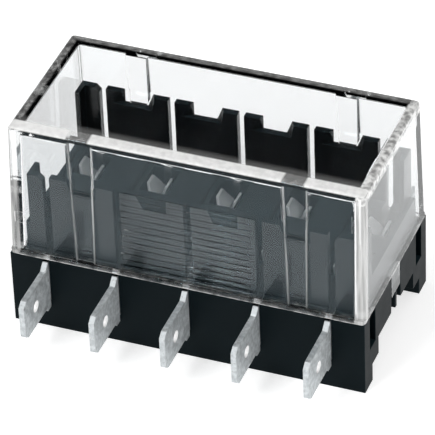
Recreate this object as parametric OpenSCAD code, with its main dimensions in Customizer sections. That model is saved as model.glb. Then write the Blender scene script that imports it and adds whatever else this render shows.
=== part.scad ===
// Blade fuse block for five standard blade fuses, with quick-connect tabs and a clear lift-off cover.
// Millimetres, Z up. X runs along the row of fuses, -Y is the front. The origin is under the middle
// of the base, on the surface that the feet stand on.

/* [Fuse row] */
// Distance between neighbouring fuse planes
pitch = 10.4; // [10:0.1:14]
// Base length beyond the outer fuse planes, each end
end_margin = 5.3; // [5.1:0.1:9]
// Width of the standard blade fuse that drops between the walls
fuse_w = 19.1; // [18.5:0.1:20.5]
// Gap between a fuse and each long wall
fuse_gap = 0.2; // [0.1:0.05:0.6]
// Distance between the middles of a fuse's two blades
blade_spacing = 9.8; // [9.2:0.1:10.6]
// Width of one fuse blade
blade_w = 5.2; // [4.6:0.1:5.6]
// Thickness of one fuse blade
blade_t = 0.65; // [0.5:0.05:0.8]
// Thickness of a fuse's body
fuse_t = 5.1; // [4.6:0.1:5.6]

/* [Housing] */
// Width of the ledge in front of and behind the long walls
side_ledge = 2.4; // [2.3:0.1:4]
// Height of the lower base, up to the ledge that the cover stands on
base_h = 11.8; // [11:0.1:15]
// Thickness of the two long walls that stand above the ledge
wall_t = 1; // [0.8:0.05:1.3]
// Height of the long walls above the ledge
wall_h = 12.8; // [9:0.1:14]
// Ledge beyond the walls at each end
end_ledge = 1.9; // [1.7:0.1:2.4]
// How far each wall turns the corner at its ends
return_d = 3; // [1.5:0.1:4]
// Thickness of those corner returns
return_t = 0.7; // [0.6:0.05:1.2]
// How much further in the front wall ends on the left, and the rear wall on the right
wall_setback = 0.6; // [0:0.1:1.2]
// Height of the fuse seat above the ledge
seat_rise = 4.5; // [3:0.1:6]
// Depth of the cell that each fuse body stands in
cell_depth = 0.8; // [0.3:0.1:1.5]
// Gap between a fuse body and each side of its cell
cell_gap = 0.2; // [0.1:0.05:0.5]
// Width of the slits that the terminals slide down
slit_w = 1; // [0.9:0.05:1.3]
// Small chamfer on the corner of each end wall piece, beside its slit
post_chamfer = 0.7; // [0.3:0.1:1.2]

/* [Wall notches] */
// Depth of the notches between the fuses
notch_h = 2.1; // [1:0.1:4]
// Half width of a notch at its mouth, on the outside of the wall
notch_out = 2.15; // [1.95:0.05:2.6]
// Half width of a notch at its mouth, on the inside of the wall
notch_in = 2.65; // [2:0.05:3]
// How far the upright side leans out at the foot of a notch, on the inside of the wall
notch_flare = 1; // [0:0.05:1.1]
// How far the sloped side comes in at the foot of a notch
notch_slope = 0.85; // [0.2:0.05:1.4]

/* [Underside and ends] */
// Width of each foot, front to back
foot_w = 3.1; // [2:0.1:4.5]
// Height of the first step above the feet
step_h = 2.8; // [1.5:0.1:3.6]
// Depth of that step, front to back
step_w = 2.6; // [1.5:0.1:3]
// Height of the channel under the block
channel_h = 5.7; // [4.4:0.1:6]
// Thickness of the floor under the contact pockets
pocket_floor = 1.3; // [0.8:0.1:2]
// Thickness of the webs round the hollows between the contact pockets
core_web = 1.1; // [0.8:0.1:1.6]
// Thickness of the seat above those hollows
core_roof = 1.5; // [1:0.1:2.5]
// Width of the upright grooves in the end faces
groove_w = 2.4; // [1.5:0.1:3]
// Depth of those grooves
groove_depth = 1.6; // [0.8:0.1:2.2]
// Distance from a groove to the corner of the base
groove_edge = 2.1; // [1.5:0.1:4]
// Height of the foot of the grooves
groove_z = 6; // [4:0.1:8]
// Thickness of the rib under the cover's tongue
catch_t = 0.6; // [0.4:0.1:1.5]
// How far that rib hangs below the roof of the channel
catch_drop = 0.4; // [0:0.1:1]

/* [Terminals] */
// Width of a quick-connect tab
tab_w = 6.3; // [4.8:0.1:6.6]
// Thickness of the terminal sheet
tab_t = 0.8; // [0.5:0.05:0.85]
// Length of a tab beyond its shoulder
tab_l = 7.8; // [6.5:0.1:12]
// Middle of the tabs above the feet
tab_z = 7.3; // [6.8:0.1:7.6]
// Height of the shoulder that stops the terminal against the base
shoulder_h = 8.2; // [7:0.1:8.4]
// Length of that shoulder
shoulder_l = 1.2; // [0.8:0.1:2]
// Depth of the notch between the shoulder's lower corner and the tab
heel_l = 0.5; // [0.2:0.1:1]
// Chamfer on a tab's tip, along the tab
tip_l = 0.9; // [0.4:0.1:3]
// Chamfer on a tab's tip, across the tab
tip_w = 0.7; // [0.4:0.1:2]
// Diameter of the detent hole in a tab
tab_hole_d = 1.7; // [1.2:0.1:2.2]
// Distance from that hole to the tip
tab_hole_back = 4; // [3:0.1:5]
// Height of the terminal where it passes through the base wall
stem_h = 5.4; // [4.6:0.1:5.6]
// Height of the tongue that the clip wraps
tongue_h = 3; // [2:0.1:3.6]
// How far the terminal's full height reaches in past the outside of the long wall
stem_reach = 2.2; // [1.4:0.1:2.6]

/* [Contact clips] */
// Sheet thickness of a clip
clip_t = 0.4; // [0.25:0.05:0.5]
// How much closer than a fuse blade's thickness the clip's leaves stand with no fuse in
clip_squeeze = 0.2; // [0.05:0.05:0.3]
// Gap between a clip's leaves at their flared tips
clip_mouth = 2.4; // [1.4:0.1:2.8]
// How far the clip's tips stay below the fuse seat
clip_drop = 0.1; // [0.1:0.1:2]
// Height of the flared tips
clip_flare_h = 2.6; // [1.5:0.1:3.5]
// Width of a clip's leaf at its flared tip
clip_tip_w = 2; // [1:0.1:4]
// Gap between a clip and the sides of its pocket
pocket_gap = 0.4; // [0.2:0.05:0.6]

/* [Cover] */
// Height of the cover above the ledge
cover_h = 20.7; // [18:0.1:30]
// Thickness of the cover's front and rear walls
cover_t = 1.2; // [0.9:0.05:1.2]
// Thickness of the cover's end walls
cover_end_t = 1.5; // [0.9:0.05:1.55]
// Thickness of the cover's top
cover_top_t = 1.5; // [1:0.1:2.5]
// How far the cover's long sides stand back from the base's edge
cover_inset = 0.3; // [0:0.05:0.4]
// How far each long side leans in over the cover's height
draft_y = 1.1; // [0.2:0.05:1.1]
// How far each end leans in over the cover's height
draft_x = 0.25; // [0:0.05:0.8]
// Radius of the cover's upright corners
cover_r = 0.6; // [0.5:0.1:1.5]
// Radius of those corners on the inside
inner_r = 0.6; // [0.3:0.1:0.7]
// Radius of the edge round the cover's top
rim_r = 0.5; // [0.2:0.1:1]
// Radius of the fillet inside that edge
rim_fillet = 0.3; // [0.2:0.1:1.5]
// Height of the lip round the cover's foot
lip_h = 0.6; // [0.3:0.1:1.2]
// Width of the upright ribs inside the cover
rib_w = 3.2; // [2:0.1:3.4]
// How much narrower a rib is at its foot, all on its left side
rib_taper = 0.9; // [0.2:0.1:1.2]
// Gap between a rib and the wall that it slides along
rib_gap = 0.15; // [0.1:0.05:0.3]
// Gap under the deep part of a rib, above the foot of its notch
rib_foot_gap = 0.4; // [0.2:0.1:1]
// How far the deep part of a rib reaches past the outside of the wall
rib_reach = 0.75; // [0.3:0.05:0.9]
// Radius of the fillets beside each rib
rib_fillet = 0.5; // [0.2:0.05:0.55]
// Width of the tongue on each end of the cover
tongue_w = 3.6; // [2:0.1:7]
// Length of that tongue below the ledge
tongue_l = 3.7; // [2:0.1:4.5]
// Gap round the tongue
tongue_gap = 0.2; // [0.1:0.05:0.5]
// Number of raised grip lines on the cover's front
grip_lines = 13; // [3:1:16]
// Distance between the grip lines
grip_pitch = 1; // [0.7:0.05:1.1]
// Length of the grip lines
grip_l = 19; // [10:0.5:26]
// Height of the lowest grip line above the ledge
grip_z = 1.4; // [1:0.1:4]
// Height of one grip line
grip_h = 0.4; // [0.2:0.05:0.5]
// How far the grip lines stand out
grip_out = 0.12; // [0.05:0.01:0.2]

/* [Hidden] */

poles = 5;
moulding_black = [0.03, 0.035, 0.04];
cut = 0.5;              // how far a cutter runs past the face that it opens
skin = 0.01;            // thickness of the slabs that a hull spans
heel_rise = 0.4;        // how much less the shoulder stands out below the tab than above it
play = 0.2;             // room between a stamped piece and the moulding round it
round_steps = 6;        // flats in each rounded top edge of the cover
wall_in = fuse_w / 2 + fuse_gap;
wall_out = wall_in + wall_t;
base_l = (poles - 1) * pitch + 2 * end_margin;
base_d = 2 * (wall_out + side_ledge);
upper_l = base_l - 2 * end_ledge;
channel_half = base_d / 2 - foot_w - step_w;
wall_top = base_h + wall_h;
seat_z = base_h + seat_rise;
cell_w = fuse_t + 2 * cell_gap;
cell_z = seat_z - cell_depth;

pocket_z = channel_h + pocket_floor;
clip_top = cell_z - clip_drop;
clip_pinch = blade_t - clip_squeeze;
clip_l = blade_w - play;
clip_y = blade_spacing / 2;
pocket_w = clip_mouth + 2 * clip_t + 2 * pocket_gap;
pocket_l = clip_l + 2 * pocket_gap;
pocket_out = clip_y + pocket_l / 2;
core_w = pitch - pocket_w - 2 * core_web;
core_l = 2 * (channel_half - core_web);

tab_low = tab_z - tab_w / 2;
tab_high = tab_z + tab_w / 2;
shoulder_low = tab_z - shoulder_h / 2 + heel_rise;
shoulder_high = tab_z + shoulder_h / 2;
stem_low = tab_z - stem_h / 2;
stem_high = tab_z + stem_h / 2;
tongue_low = pocket_z + clip_t;
tongue_high = tongue_low + tongue_h;
tongue_end = clip_y - clip_l / 2;
stem_end = wall_out - stem_reach;

slot_x = base_l / 2 - cover_end_t - tongue_gap;
cover_d = base_d - 2 * cover_inset;
cover_high = base_h + cover_h;
rib_x = 1.5 * pitch;
rib_low_y = wall_out + rib_gap;
rib_high_y = wall_out - rib_reach;
notch_foot = wall_top - notch_h;

function pole_x(i) = (i - (poles + 1) / 2) * pitch;
function gap_x(i) = pole_x(i) + pitch / 2;
function cover_y(z) = cover_d / 2 - draft_y * (z - base_h) / cover_h;

// A box given by its lowest and highest corners
module span(low, high) {
    translate(low) cube(high - low);
}

// The body of the housing as one section along the row
module housing_section() {
    half = [
        [0, channel_h], [channel_half, channel_h], [channel_half, step_h],
        [base_d / 2 - foot_w, step_h], [base_d / 2 - foot_w, 0], [base_d / 2, 0], [base_d / 2, base_h],
        [0, base_h]
    ];
    for (side = [0, 1]) mirror([side, 0]) polygon(half);
}

// An outline in Y and Z, drawn out along X about the middle
module along_x(length) {
    rotate([90, 0, 90]) linear_extrude(length, center = true) children();
}

// Rear long wall with the returns that turn its two corners
module rear_wall() {
    left = -upper_l / 2;
    right = upper_l / 2 - wall_setback;
    span([left, wall_in, base_h - cut], [right, wall_out, wall_top]);
    for (x = [left, right - return_t])
        span([x, wall_out - return_d, base_h - cut], [x + return_t, wall_out, wall_top]);
}

// Shallow cell that the fuse's body stands in
module fuse_cell(x) {
    span([x - cell_w / 2, -wall_in, cell_z], [x + cell_w / 2, wall_in, seat_z + cut]);
}

// Block between the long walls that the fuses stand on
module seat_block() {
    difference() {
        span([-upper_l / 2, -wall_out, base_h - cut], [upper_l / 2, wall_out, seat_z]);
        for (i = [1 : poles]) fuse_cell(pole_x(i));
    }
}

// Cutter for one notch in the rear wall: wider inside than outside, one side upright, one sloped
module notch_cutter(x) {
    low = notch_foot;
    high = wall_top + cut;
    lean = (notch_h + cut) / notch_h;
    in_y = wall_in - skin;
    out_y = wall_out + skin;
    points = [
        [x - notch_in - notch_flare, in_y, low], [x + notch_in - notch_slope / 2, in_y, low],
        [x + notch_out - notch_slope, out_y, low], [x - notch_out, out_y, low],
        [x - notch_in + notch_flare * (lean - 1), in_y, high],
        [x + notch_in + notch_slope / 2 * (lean - 1), in_y, high],
        [x + notch_out + notch_slope * (lean - 1), out_y, high], [x - notch_out, out_y, high]
    ];
    polyhedron(points, [
        [0, 1, 2, 3], [7, 6, 5, 4], [0, 4, 5, 1], [1, 5, 6], [1, 6, 2], [2, 6, 7, 3], [3, 7, 4], [3, 4, 0]
    ]);
}

// Takes the corner off the end wall pieces of the rear wall, beside their slits
module post_chamfers() {
    bar = post_chamfer * sqrt(2);
    for (side = [0, 1]) mirror([side, 0, 0])
        translate([pole_x(1) - slit_w / 2, (wall_in + wall_out) / 2, wall_top])
            rotate([0, 45, 0]) cube([bar, 2 * wall_t, bar], center = true);
}

// Slit and contact pocket for the rear terminal at one pole
module rear_pole_cuts(x) {
    span([x - slit_w / 2, stem_end - play / 2, stem_low], [x + slit_w / 2, base_d / 2 + cut, wall_top + cut]);
    span([x - slit_w / 2, pocket_out - cut, tongue_low], [x + slit_w / 2, stem_end, wall_top + cut]);
    span(
        [x - pocket_w / 2, clip_y - pocket_l / 2, pocket_z],
        [x + pocket_w / 2, pocket_out, seat_z + cut]
    );
}

// Hollow moulded from below between two poles
module core(x) {
    span([x - core_w / 2, -core_l / 2, channel_h - cut], [x + core_w / 2, core_l / 2, seat_z - core_roof]);
}

// Grooves in the right end face, and the slot that the cover's tongue hangs in
module right_end_cuts() {
    face = base_l / 2;
    half = tongue_w / 2 + tongue_gap;
    for (side = [0, 1]) mirror([0, side, 0]) span(
        [face - groove_depth, base_d / 2 - groove_edge - groove_w, groove_z],
        [face + cut, base_d / 2 - groove_edge, base_h + cut]
    );
    span([slot_x, -half, channel_h - cut], [face + cut, half, base_h + cut]);
}

// Rib that stands in that slot, under the tongue
module right_catch() {
    span(
        [slot_x - cut, -catch_t / 2, channel_h - catch_drop],
        [base_l / 2, catch_t / 2, base_h - tongue_l - tongue_gap]
    );
}

module housing() {
    color(moulding_black) difference() {
        union() {
            along_x(base_l) housing_section();
            seat_block();
            for (turn = [0, 180]) rotate([0, 0, turn]) rear_wall();
        }
        for (turn = [0, 180]) rotate([0, 0, turn]) {
            for (i = [1 : poles - 1]) notch_cutter(gap_x(i));
            for (i = [1 : poles]) rear_pole_cuts(pole_x(i));
            post_chamfers();
            right_end_cuts();
        }
        for (i = [1 : poles - 1]) core(gap_x(i));
    }
    color(moulding_black) for (turn = [0, 180]) rotate([0, 0, turn]) right_catch();
}

// Outline of the rear terminal: distance from the middle of the block, and height
module terminal_outline() {
    face = base_d / 2;
    root = face + shoulder_l;
    tip = root + tab_l;
    difference() {
        polygon([
            [tongue_end, tongue_low], [stem_end, tongue_low], [stem_end, stem_low], [face, stem_low],
            [face, shoulder_low], [root, shoulder_low], [root + heel_l, tab_low], [tip - tip_l, tab_low],
            [tip, tab_low + tip_w], [tip, tab_high - tip_w], [tip - tip_l, tab_high], [root, tab_high],
            [face + tab_t / 4, shoulder_high], [face, shoulder_high], [face, stem_high],
            [stem_end, stem_high], [stem_end, tongue_high], [tongue_end, tongue_high]
        ]);
        translate([tip - tab_hole_back, tab_z]) circle(d = tab_hole_d, $fn = 48);
    }
}

module rear_terminal(x) {
    color([0.72, 0.72, 0.70]) translate([x, 0, 0]) along_x(tab_t) terminal_outline();
}

// Section of a clip: a narrow U round the terminal's tongue, leaves that pinch, and flared tips
module clip_section() {
    grip = tab_t / 2;
    pinch_z = clip_top - clip_flare_h;
    inner = [
        [grip, tongue_low], [grip, tongue_high], [clip_pinch / 2, pinch_z],
        [clip_mouth / 2, clip_top]
    ];
    outer = [for (p = inner) [p[0] + clip_t, p[1]]];
    last = len(inner) - 1;
    right_up = concat([[grip + clip_t, pocket_z]], [for (k = [1 : last]) outer[k]]);
    right_down = [for (k = [last : -1 : 0]) inner[k]];
    right = concat(right_up, right_down);
    left = [for (k = [len(right) - 1 : -1 : 0]) [-right[k][0], right[k][1]]];
    polygon(concat(right, left));
}

// A clip seen from the end of the row: full width below, leaves that narrow to their tips
module clip_side() {
    shoulder = clip_top - clip_flare_h;
    polygon([
        [-clip_l / 2, pocket_z], [clip_l / 2, pocket_z], [clip_l / 2, shoulder], [clip_tip_w / 2, clip_top],
        [-clip_tip_w / 2, clip_top], [-clip_l / 2, shoulder]
    ]);
}

module rear_clip(x) {
    color([0.80, 0.78, 0.72]) translate([x, clip_y, 0])
        intersection() {
            rotate([90, 0, 0]) linear_extrude(clip_l, center = true) clip_section();
            along_x(pocket_w) clip_side();
        }
}

// Rectangle with round corners at one height, as a thin slab
module slab(size, radius, z) {
    translate([0, 0, z]) linear_extrude(skin) offset(radius, $fn = 32)
        square(size - [1, 1] * 2 * radius, center = true);
}

// Tapered block of the cover, smaller by inset all round, with a rounded top edge
module cover_block(low, high, inset, corner, edge) {
    grow = [draft_x, draft_y] * 2 / cover_h;
    function size_at(z) = [base_l, cover_d] - grow * (z - base_h) - 2 * inset;
    hull() {
        slab(size_at(low), corner, low);
        for (step = [0 : round_steps]) {
            turn = 90 * step / round_steps;
            z = high - edge * (1 - sin(turn)) - skin;
            back = edge * (1 - cos(turn));
            slab(size_at(z) - [1, 1] * 2 * back, max(corner - back, skin), z);
        }
    }
}

// An outline in X and Z, drawn out along Y from low to high
module along_y(low, high) {
    translate([0, high, 0]) rotate([90, 0, 0]) linear_extrude(high - low) children();
}

// Outline of a rib: upright on the right, leaning in towards the foot on the left
module rib_outline() {
    polygon([
        [rib_w / 2, base_h], [rib_w / 2, cover_high], [-rib_w / 2, cover_high],
        [rib_taper - rib_w / 2, base_h]
    ]);
}

// Room that a notch with its slope on the right leaves for the deep part of a rib
module notch_room() {
    low = notch_foot + rib_foot_gap;
    slope = notch_slope / notch_h;
    foot = notch_out - notch_slope + slope * rib_foot_gap - rib_gap;
    polygon([
        [-pitch / 2, low], [foot, low], [foot + slope * (cover_high - low), cover_high],
        [-pitch / 2, cover_high]
    ]);
}

// Rib on the inside of the rear wall: it steps in over a notch, whose slope is on the left where turned is 1
module cover_rib(turned) {
    outer = cover_y(base_h);
    along_y(rib_low_y, outer) rib_outline();
    intersection() {
        along_y(rib_high_y, outer) rib_outline();
        along_y(rib_high_y, outer) mirror([turned, 0]) notch_room();
    }
}

// Fillet in the corner between the rear wall and the right side of a rib, which leans in by taper
module rib_root(taper) {
    lean = atan(draft_y / cover_h);
    tilt = atan(taper / cover_h);
    translate([rib_w / 2 - taper, cover_y(base_h) - cover_t, base_h]) rotate([lean, tilt, 0])
        linear_extrude(cover_h / cos(lean) / cos(tilt)) difference() {
            translate([-skin, -rib_fillet]) square([rib_fillet + skin, rib_fillet + cover_t]);
            translate([rib_fillet, -rib_fillet]) circle(rib_fillet, $fn = 48);
        }
}

// Fillets on both sides of a rib, cut back where the housing's wall stands
module rib_roots() {
    reach = rib_w / 2 + rib_fillet;
    outer = cover_y(base_h);
    intersection() {
        union() {
            rib_root(0);
            mirror([1, 0, 0]) rib_root(rib_taper);
        }
        union() {
            span([-reach, rib_low_y, base_h], [reach, outer, cover_high]);
            span([-reach, rib_high_y, wall_top + play], [reach, outer, cover_high]);
        }
    }
}

// Lip round the foot of the cover, flush with the base
module cover_lip() {
    translate([0, 0, base_h]) linear_extrude(lip_h) difference() {
        offset(cover_r, $fn = 32) square([base_l, base_d] - [1, 1] * 2 * cover_r, center = true);
        square([base_l - 2 * cover_end_t, cover_d - 2 * cover_t], center = true);
    }
}

// Raised lines across the front, laid on the leaning face
module grip() {
    lean = atan(draft_y / cover_h);
    for (k = [0 : grip_lines - 1]) {
        z = base_h + grip_z + k * grip_pitch;
        translate([0, -cover_y(z), z]) rotate([-lean, 0, 0])
            cube([grip_l, 2 * grip_out, grip_h], center = true);
    }
}

// Tongues that hang over the catches in the end faces of the base
module cover_tongues() {
    for (side = [0, 1]) mirror([side, 0, 0]) span(
        [base_l / 2 - cover_end_t, -tongue_w / 2, base_h - tongue_l],
        [base_l / 2, tongue_w / 2, base_h + cut]
    );
}

module cover() {
    color([0.85, 0.88, 0.9, 0.35]) {
        difference() {
            union() {
                cover_block(base_h, cover_high, [0, 0], cover_r, rim_r);
                cover_lip();
            }
            difference() {
                cover_block(base_h - cut, cover_high - cover_top_t, [cover_end_t, cover_t], inner_r, rim_fillet);
                for (side = [0, 1]) mirror([0, side, 0])
                    for (x = [-rib_x, rib_x]) translate([x, 0, 0]) {
                        cover_rib(side);
                        rib_roots();
                    }
            }
        }
        grip();
        cover_tongues();
    }
}

housing();
cover();
for (i = [1 : poles]) {
    x = pole_x(i);
    mirror([0, 1, 0]) rear_terminal(x);
    rear_terminal(x);
    mirror([0, 1, 0]) rear_clip(x);
    rear_clip(x);
}
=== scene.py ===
"""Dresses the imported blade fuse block: black moulded housing, clear lift-off cover, tin-plated
quick-connect terminals and bright spring clips, on a white floor in soft light.
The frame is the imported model's, in metres: X along the fuses, -Y front, Z up. Masks that go by the
place on a piece are worked out in millimetres."""

import math

import bpy
from mathutils import Matrix, Vector

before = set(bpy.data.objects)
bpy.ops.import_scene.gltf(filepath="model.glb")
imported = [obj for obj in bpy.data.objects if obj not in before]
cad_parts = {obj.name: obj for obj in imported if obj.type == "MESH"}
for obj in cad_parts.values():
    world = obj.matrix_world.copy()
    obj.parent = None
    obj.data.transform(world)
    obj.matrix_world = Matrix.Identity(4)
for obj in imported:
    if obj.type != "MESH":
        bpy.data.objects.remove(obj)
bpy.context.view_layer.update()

MM = 0.001
TERMINALS = [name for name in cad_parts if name.startswith("terminal_")]
CLIPS = [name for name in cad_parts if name.startswith("clip_")]

# Radius that the shading gives to sharp edges, and how far its normal turns, as 1 less the cosine,
# where an edge counts as fully worn
MOULDED_EDGE = 0.16 * MM
STAMPED_EDGE = 0.10 * MM
SPRING_EDGE = 0.08 * MM
EDGE_TURN = 0.12

# Outside of the cover, in millimetres. Its foot stands on the ledge and its long walls lean in.
LEDGE_Z = 11.8
COVER_TOP_Z = 32.5
COVER_END_X = 26.1
COVER_FOOT_Y = 12.85
COVER_TOP_Y = 11.75
COVER_RISE = COVER_TOP_Z - LEDGE_Z
COVER_LEAN = (COVER_FOOT_Y - COVER_TOP_Y) / COVER_RISE

# Ribs of the cover, in millimetres: their middle, from there to the line of a root at the top, how
# much narrower the foot is, how deep the roots lie, and the small face under the deep part
RIB_X = 15.6
RIB_ROOT = 1.75
RIB_TAPER = 0.9
RIB_ROOT_DEPTH = 1.4
RIB_FOOT_Y = 10.45
RIB_FOOT_Z = 22.9

# Detent hole in a tab, whose wall gets a painted highlight, in millimetres from the middle of the
# block and from the feet, and its radius with a little to spare
HOLE_Y = 18.15
HOLE_Z = 7.3
HOLE_R = 0.87

# Bands along the cover's edges that are painted as highlight, in millimetres
MASK_BLUR = 0.15
END_BAND = 1.5
WALL_BAND = 1.3
RIM_BAND = 1.6
FLAT_TOP = 0.25

# For each plain rim of the cover's top: width of its band of painted highlight, the least amount of
# it, and how much more there is where the noise that breaks it up is high
RIM_HIGHLIGHTS = {
    "right": (END_BAND, 0.30, 0.60),
    "left": (END_BAND, 0.08, 0.22),
    "rear": (WALL_BAND, 0.10, 0.15),
}

# Least amount of painted highlight in the front corner at each end
CORNER_HIGHLIGHTS = {"right": 0.40, "left": 0.22}


class Value:
    """A socket in a node tree that Python's operators can work with."""

    def __init__(self, tree, socket):
        self.tree = tree
        self.socket = socket

    def __add__(self, other):
        return self.tree.value("ADD", self, other)

    def __radd__(self, other):
        return self.tree.value("ADD", other, self)

    def __sub__(self, other):
        return self.tree.value("SUBTRACT", self, other)

    def __rsub__(self, other):
        return self.tree.value("SUBTRACT", other, self)

    def __mul__(self, other):
        return self.tree.value("MULTIPLY", self, other)

    def __rmul__(self, other):
        return self.tree.value("MULTIPLY", other, self)

    def __abs__(self):
        return self.tree.value("ABSOLUTE", self)


class Tree:
    """A node tree being built. node() makes every node in it."""

    # Sockets of a colour Mix node, which share their names with its sockets for other types
    MIX_LOW, MIX_HIGH, MIX_RESULT = 6, 7, 2

    def __init__(self, owner):
        owner.use_nodes = True
        self.nodes = owner.node_tree.nodes
        self.links = owner.node_tree.links
        self.nodes.clear()

    def node(self, kind, settings=None, sockets=None, output=0):
        """Adds a node: its settings first, then its sockets' values or links. Returns one output,
        or nothing where output is None."""
        made = self.nodes.new(kind)
        for name, setting in (settings or {}).items():
            if name == "stops":
                self.set_stops(made.color_ramp, setting)
            else:
                setattr(made, name, setting)
        for name, given in (sockets or {}).items():
            if isinstance(given, Value):
                self.links.new(given.socket, made.inputs[name])
            else:
                made.inputs[name].default_value = given
        return None if output is None else Value(self, made.outputs[output])

    @staticmethod
    def set_stops(ramp, stops):
        """Gives a colour ramp its stops, as pairs of position and grey level."""
        while len(ramp.elements) < len(stops):
            ramp.elements.new(1.0)
        for element, (position, grey) in zip(ramp.elements, stops):
            element.position = position
            element.color = (grey, grey, grey, 1.0)

    def value(self, operation, *operands):
        """Adds one Math node that works on the given operands."""
        return self.node("ShaderNodeMath", {"operation": operation}, dict(enumerate(operands)))

    def largest(self, masks):
        """The largest of several masks at each point."""
        total = masks[0]
        for mask in masks[1:]:
            total = self.value("MAXIMUM", total, mask)
        return total

    def dot(self, first, second):
        """Dot product of two vectors."""
        return self.node(
            "ShaderNodeVectorMath",
            {"operation": "DOT_PRODUCT"},
            {0: first, 1: second},
            output="Value",
        )

    def place(self):
        """Position on the piece, in metres, fixed to it as it moves."""
        return self.node("ShaderNodeTexCoord", output="Object")

    def axis(self, name):
        """Position along one axis, in millimetres."""
        along = self.node("ShaderNodeSeparateXYZ", None, {"Vector": self.place()}, output=name)
        return along * (1.0 / MM)

    def noise(self, scale, detail, place=None):
        """Noise from 0 to 1, with scale spots to the metre."""
        sockets = {"Vector": place or self.place(), "Scale": scale, "Detail": detail}
        return self.node("ShaderNodeTexNoise", None, sockets)

    def streaks(self, scales, detail):
        """Noise that is drawn out one way, with its own spots to the metre along each axis."""
        stretched = self.node(
            "ShaderNodeVectorMath", {"operation": "MULTIPLY"}, {0: self.place(), 1: scales}
        )
        return self.noise(1.0, detail, stretched)

    def ramp(self, value, *stops):
        """Remaps a value through stops of position and grey level."""
        return self.node("ShaderNodeValToRGB", {"stops": stops}, {"Fac": value})

    def blend(self, factor, low, high):
        """Mixes two colours."""
        sockets = {"Factor": factor, self.MIX_LOW: low, self.MIX_HIGH: high}
        return self.node("ShaderNodeMix", {"data_type": "RGBA"}, sockets, output=self.MIX_RESULT)

    def near(self, distance, limit, blur=MASK_BLUR):
        """1 where a distance is under a limit, 0 beyond it, with a soft step between."""
        sockets = {
            "Value": distance,
            "From Min": limit - blur,
            "From Max": limit + blur,
            "To Min": 1.0,
            "To Max": 0.0,
        }
        return self.node("ShaderNodeMapRange", None, sockets)

    def facing(self):
        """Normal of the surface itself."""
        return self.node("ShaderNodeNewGeometry", output="Normal")

    def rounded(self, radius):
        """Normal with every sharp edge rounded to a small radius."""
        return self.node("ShaderNodeBevel", {"samples": 6}, {"Radius": radius})

    def edges(self, radius):
        """1 on the sharp edges, 0 on the flats."""
        turn = 1.0 - self.dot(self.facing(), self.rounded(radius))
        return self.ramp(turn, (0.0, 0.0), (EDGE_TURN, 1.0))

    def bump(self, height, distance, strength, normal=None):
        """Normal bent by a height, where a height of 1 stands the given distance high."""
        sockets = {"Height": height, "Distance": distance, "Strength": strength}
        if normal is not None:
            sockets["Normal"] = normal
        return self.node("ShaderNodeBump", None, sockets)

    def principled(self, sockets):
        """One Principled shader."""
        return self.node("ShaderNodeBsdfPrincipled", None, sockets)

    def finish(self, shader):
        """Ends a material in a shader."""
        self.node("ShaderNodeOutputMaterial", None, {"Surface": shader}, output=None)


def new_material(name):
    """A material and its empty tree."""
    material = bpy.data.materials.new(name)
    return material, Tree(material)


def black_moulding():
    """Black glass-filled plastic: satin, finely grained, a little lighter along worn edges, glossier
    above the ledge, where the cover closes it in, and with a painted highlight that makes upward
    faces lighter."""
    material, tree = new_material("black_moulding")
    grain = tree.noise(3500.0, 2.0)
    cloud = tree.noise(160.0, 4.0)
    flow = tree.streaks((90.0, 500.0, 500.0), 3.0)
    worn = tree.edges(MOULDED_EDGE) * tree.ramp(cloud, (0.35, 0.25), (0.65, 1.0))
    upward = tree.node("ShaderNodeSeparateXYZ", None, {"Vector": tree.facing()}, output="Z")
    # Painted highlight: faces that look upward get a lighter teal-grey, as lit tops would look
    painted_top_sheen = tree.ramp(upward, (0.55, 0.0), (0.95, 1.0)) * tree.ramp(cloud, (0.30, 0.4), (0.70, 1.0))
    above_ledge = 1.0 - tree.near(tree.axis("Z"), LEDGE_Z + 0.3)
    tint = tree.blend(cloud, (0.0002, 0.0013, 0.0022, 1), (0.0005, 0.0026, 0.0040, 1))
    tint = tree.blend(painted_top_sheen, tint, (0.010, 0.021, 0.025, 1))
    moulded = tree.rounded(MOULDED_EDGE)
    shader = tree.principled(
        {
            "Base Color": tree.blend(worn, tint, (0.020, 0.030, 0.034, 1)),
            "Roughness": 0.40 + flow * 0.10 + grain * 0.08,
            "Specular IOR Level": 0.10,
            "Specular Tint": (0.62, 0.92, 1.0, 1),
            "Coat Weight": above_ledge * 0.9,
            "Coat Roughness": 0.22,
            "Normal": tree.bump(grain + cloud * 0.5, 0.008 * MM, 0.3, moulded),
        }
    )
    tree.finish(shader)
    return material


def cover_faces(tree):
    """Distance from each outside face of the cover, in millimetres."""
    x, y, z = tree.axis("X"), tree.axis("Y"), tree.axis("Z")
    half_width = COVER_FOOT_Y - COVER_LEAN * (z - LEDGE_Z)
    return {
        "front": y + half_width,
        "rear": half_width - y,
        "left": x + COVER_END_X,
        "right": COVER_END_X - x,
        "top": COVER_TOP_Z - z,
        "foot": abs(z - LEDGE_Z),
    }


def rim_highlights(tree, off, broken):
    """Painted highlight on the rims of the top: the flat of the front one is white except over the
    ribs, with a faint band behind it, and the others are broken up."""
    rim = tree.near(off["top"], RIM_BAND)
    flat_top = tree.near(off["top"], FLAT_TOP, 0.10)
    off_rib = abs(abs(tree.axis("X")) - RIB_X)
    clear_of_rib = 1.0 - tree.near(off_rib, RIM_BAND) * 0.75
    front = tree.near(off["front"], 2.0) * flat_top * clear_of_rib * (0.84 + broken * 0.14)
    behind = tree.near(off["front"], 3.0, 0.50) * flat_top * 0.10
    others = [
        tree.near(off[face], band) * rim * (least + broken * more)
        for face, (band, least, more) in RIM_HIGHLIGHTS.items()
    ]
    return [front, behind, *others]


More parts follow.
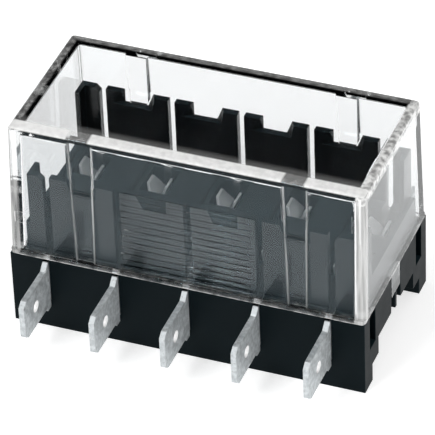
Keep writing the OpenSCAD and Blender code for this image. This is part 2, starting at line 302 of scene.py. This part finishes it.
def corner_highlights(tree, off):
    """Painted highlight in the two front corners, streaked upward."""
    streaks = tree.ramp(tree.streaks((2200.0, 2200.0, 60.0), 2.0), (0.35, 0.0), (0.65, 1.0))
    front = tree.near(off["front"], WALL_BAND)
    return [
        tree.near(off[face], END_BAND) * front * (least + streaks * 0.25)
        for face, least in CORNER_HIGHLIGHTS.items()
    ]


def foot_highlights(tree, off, broken):
    """Painted highlight: a broken bright line where the foot meets the ledge, and a faint band about
    it.
    """
    line = tree.near(off["foot"], 0.10, 0.06) * (0.25 + broken * 0.60)
    return [line, tree.near(off["foot"], 0.55) * broken * 0.14]


def rib_root_highlights(tree, off):
    """Painted highlight lines at both roots of each front rib: the right one stands upright, the
    left one slopes.
    """
    x = tree.axis("X")
    to_top = 1.0 - (tree.axis("Z") - LEDGE_Z) * (1.0 / COVER_RISE)
    off_rib = x - tree.value("SIGN", x) * RIB_X
    right = tree.near(abs(off_rib - RIB_ROOT), 0.16, 0.08)
    left = tree.near(abs(off_rib + RIB_ROOT - RIB_TAPER * to_top), 0.12, 0.08)
    at_wall = tree.near(abs(off["front"] - RIB_ROOT_DEPTH), 0.4)
    return tree.largest([right, left * 0.7]) * at_wall * 0.55


def rib_feet_shade(tree):
    """1 on the small faces under the deep part of the two front ribs, which are painted dark as
    painted shade.
    """
    off_rib = abs(abs(tree.axis("X")) - RIB_X)
    off_foot = abs(tree.axis("Z") - RIB_FOOT_Z)
    inside = tree.near(abs(tree.axis("Y") + RIB_FOOT_Y), 0.5, 0.05)
    return tree.near(off_foot, 0.08, 0.04) * tree.near(off_rib, 1.7, 0.05) * inside


def clear_plastic():
    """Clear moulded plastic with faint handling smears and the slight ripple of a moulded wall. Its
    rims, front corners, foot line and rib roots are mixed with white diffuse as painted highlight,
    more at the front and right than at the left and rear, and the small faces under the front ribs
    are painted dark as painted shade."""
    material, tree = new_material("clear_plastic")
    ripple = tree.noise(110.0, 2.0)
    smears = tree.streaks((240.0, 240.0, 60.0), 5.0)
    specks = tree.ramp(tree.noise(1500.0, 2.0), (0.70, 0.0), (0.76, 1.0))
    clear = tree.principled(
        {
            "Base Color": tree.blend(smears, (0.930, 0.943, 0.950, 1), (0.905, 0.922, 0.930, 1)),
            "Roughness": tree.ramp(smears, (0.45, 0.0), (0.80, 1.0)) * 0.05 + specks * 0.06 + 0.008,
            "IOR": 1.50,
            "Transmission Weight": 1.0,
            "Specular Tint": (0.34, 0.46, 0.52, 1),
            "Normal": tree.bump(ripple, 0.03 * MM, 0.35),
        }
    )
    # Faces under the front ribs, painted dark below as painted shade
    feet = rib_feet_shade(tree)
    # White diffuse for the painted highlights on the edges, dark on the rib feet for painted shade
    painted_light_shader = tree.principled(
        {
            "Base Color": tree.blend(feet, (0.93, 0.93, 0.92, 1), (0.01, 0.02, 0.025, 1)),
            "Roughness": 0.9,
            "Specular IOR Level": 0.0,
        }
    )
    off = cover_faces(tree)
    broken = tree.ramp(tree.noise(1100.0, 4.0), (0.38, 0.0), (0.62, 1.0))
    # How much painted highlight and shade is mixed over the clear plastic at each point
    painted_light_mix = tree.largest(
        [
            *rim_highlights(tree, off, broken),
            *corner_highlights(tree, off),
            *foot_highlights(tree, off, broken),
            rib_root_highlights(tree, off),
            feet * 0.9,
        ]
    )
    tree.finish(tree.node("ShaderNodeMixShader", None, {0: painted_light_mix, 1: clear, 2: painted_light_shader}))
    return material


def bore_highlight_mask(tree):
    """1 on the wall of the detent hole in each tab, 0 on the flats: where a near-white painted
    highlight goes.
    """
    across = abs(tree.axis("Y")) - HOLE_Y
    up = tree.axis("Z") - HOLE_Z
    return tree.near(tree.value("SQRT", across * across + up * up), HOLE_R, 0.02)


def tin_plate():
    """Matte tin on stamped brass sheet: mottled, with rolling marks along the sheet, and a
    near-white painted highlight on the wall of each detent hole.
    """
    material, tree = new_material("tin_plate")
    mottle = tree.ramp(tree.noise(1500.0, 5.0), (0.36, 0.0), (0.64, 1.0))
    cloud = tree.noise(260.0, 3.0)
    rolled = tree.streaks((5000.0, 500.0, 9000.0), 3.0)
    pits = tree.ramp(tree.noise(3200.0, 2.0), (0.28, 1.0), (0.38, 0.0))
    worn = tree.edges(STAMPED_EDGE)
    bore_highlight = bore_highlight_mask(tree)
    tone = tree.blend(mottle * 0.6 + cloud * 0.4, (0.36, 0.39, 0.405, 1), (0.72, 0.755, 0.77, 1))
    tone = tree.blend(pits * 0.6, tone, (0.26, 0.26, 0.25, 1))
    # Painted highlight: the wall of each detent hole is painted near white
    tone = tree.blend(bore_highlight, tone, (0.97, 0.97, 0.97, 1))
    height = rolled * 0.5 + mottle - pits * 0.6
    shader = tree.principled(
        {
            "Base Color": tree.blend(worn * 0.3, tone, (0.82, 0.83, 0.83, 1)),
            "Metallic": (0.45 + cloud * 0.2) * (1.0 - bore_highlight * 0.8),
            "Roughness": 0.42 + mottle * 0.22,
            "Normal": tree.bump(height, 0.015 * MM, 0.7, tree.rounded(STAMPED_EDGE)),
        }
    )
    tree.finish(shader)
    return material


def bright_spring():
    """Bright plated spring sheet for the contact clips."""
    material, tree = new_material("bright_spring")
    drawn = tree.streaks((2500.0, 2500.0, 300.0), 3.0)
    cloud = tree.noise(400.0, 3.0)
    shader = tree.principled(
        {
            "Base Color": tree.blend(cloud, (0.86, 0.87, 0.87, 1), (0.95, 0.96, 0.96, 1)),
            "Metallic": 0.55,
            "Roughness": 0.24 + drawn * 0.16,
            "Normal": tree.bump(drawn, 0.008 * MM, 0.5, tree.rounded(SPRING_EDGE)),
        }
    )
    tree.finish(shader)
    return material


def dress(names, material):
    """Gives CAD nodes one finish."""
    for name in names:
        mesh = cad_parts[name].data
        mesh.materials.clear()
        mesh.materials.append(material)


def floor_white():
    """White floor finish, lit from within like a light table."""
    material, tree = new_material("floor_white")
    white = tree.blend(tree.noise(3.0, 2.0), (0.86, 0.86, 0.86, 1), (0.88, 0.88, 0.88, 1))
    shader = tree.principled(
        {
            "Base Color": white,
            "Roughness": 0.9,
            "Specular IOR Level": 0.0,
            "Emission Color": white,
            "Emission Strength": 0.62,
        }
    )
    tree.finish(shader)
    return material


def floor(reach=6.0, drop=0.02 * MM):
    """Plain square floor, a hair under the feet."""
    mesh = bpy.data.meshes.new("floor")
    corners = [(-reach, -reach, 0), (reach, -reach, 0), (reach, reach, 0), (-reach, reach, 0)]
    mesh.from_pydata(corners, [], [(0, 1, 2, 3)])
    mesh.materials.append(floor_white())
    plane = bpy.data.objects.new("floor", mesh)
    plane.location.z = -drop
    bpy.context.scene.collection.objects.link(plane)


def surroundings():
    """Pale all round, but for a dark panel behind, above the block: the cover's top mirrors it."""
    world = bpy.data.worlds.new("studio")
    bpy.context.scene.world = world
    tree = Tree(world)
    panel = Vector((-0.30, 0.74, 0.61))
    nearness = tree.dot(tree.node("ShaderNodeTexCoord", output="Generated"), panel)
    shade = tree.ramp(nearness, (0.86, 0.48), (0.95, 0.02))
    background = tree.node("ShaderNodeBackground", None, {"Color": shade, "Strength": 1.0})
    tree.node("ShaderNodeOutputWorld", None, {"Surface": background}, output=None)


def softbox(name, place, size, power):
    """Square area light at a place, aimed at the middle of the block."""
    data = bpy.data.lights.new(name, "AREA")
    data.shape = "SQUARE"
    data.size = size
    data.energy = power
    light = bpy.data.objects.new(name, data)
    light.location = place
    aim = Vector((0.0, 0.0, 15 * MM)) - light.location
    light.rotation_euler = aim.to_track_quat("-Z", "Y").to_euler()
    bpy.context.scene.collection.objects.link(light)


def camera():
    """Camera at the photograph's angle, from a fit to the block's edges."""
    azimuth, elevation, roll = math.radians(22.17), math.radians(37.27), math.radians(-2.35)
    distance = 0.5642
    target = Vector((-0.1 * MM, 0.0, 14.55 * MM))
    back = Vector(
        (
            math.sin(azimuth) * math.cos(elevation),
            -math.cos(azimuth) * math.cos(elevation),
            math.sin(elevation),
        )
    )
    level = Vector((math.cos(azimuth), math.sin(azimuth), 0.0))
    upright = back.cross(level)
    right = math.cos(roll) * level + math.sin(roll) * upright
    up = math.cos(roll) * upright - math.sin(roll) * level
    turned = Matrix((right, up, back)).transposed().to_4x4()
    data = bpy.data.cameras.new("camera")
    data.sensor_width = 36.0
    data.lens = 334.9
    data.clip_start = 0.01
    data.clip_end = 50.0
    view = bpy.data.objects.new("camera", data)
    view.matrix_world = Matrix.Translation(target + back * distance) @ turned
    bpy.context.scene.collection.objects.link(view)
    bpy.context.scene.camera = view


camera()
floor()
surroundings()
softbox("key", place=(-0.24, -0.50, 0.60), size=0.26, power=1.9)
softbox("left", place=(-0.60, 0.10, 0.40), size=0.40, power=0.8)
softbox("right", place=(0.62, -0.30, 0.42), size=0.30, power=2.0)
bpy.context.scene.view_settings.view_transform = "Standard"

dress(["housing"], black_moulding())
dress(["cover"], clear_plastic())
dress(TERMINALS, tin_plate())
dress(CLIPS, bright_spring())
